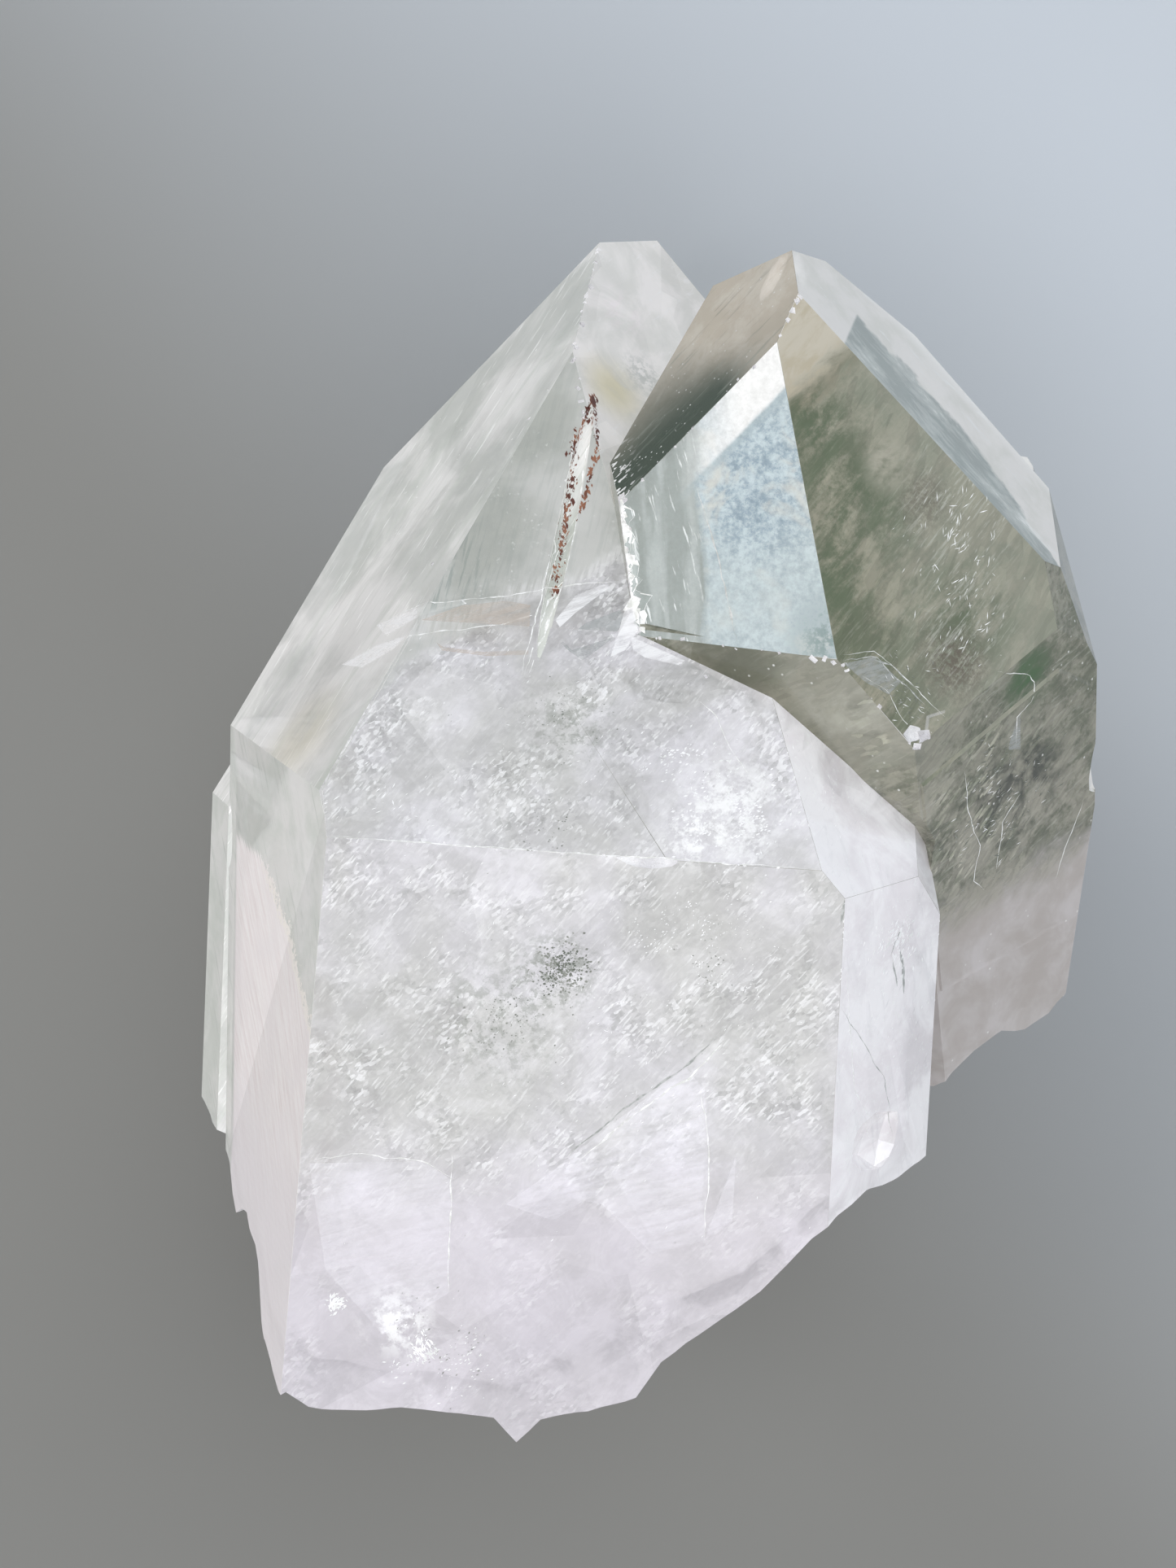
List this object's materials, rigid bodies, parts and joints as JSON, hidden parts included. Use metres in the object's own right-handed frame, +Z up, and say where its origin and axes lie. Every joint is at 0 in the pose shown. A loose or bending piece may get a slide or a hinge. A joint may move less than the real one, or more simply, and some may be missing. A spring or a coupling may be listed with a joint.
{
  "type": "chlorite quartz crystal",
  "caption": "Natural quartz cluster lying on its back: a milky faceted point, a green-tinged point beside it and a small sliver, with a rough broken base.",
  "frame": {"origin": "centre of the cluster's plan, at the surface that it rests on", "axes": "+Z up, away from the resting face; +Y along the left crystal's axis towards its tip; +X towards the right crystal"},
  "size_m": [0.1064, 0.1296, 0.073],
  "materials": {
    "quartz": "polished natural faces, milky inside, rough on the break"
  },
  "bodies": {
    "root": {"quartz_cluster": "quartz"}
  },
  "joints": []
}
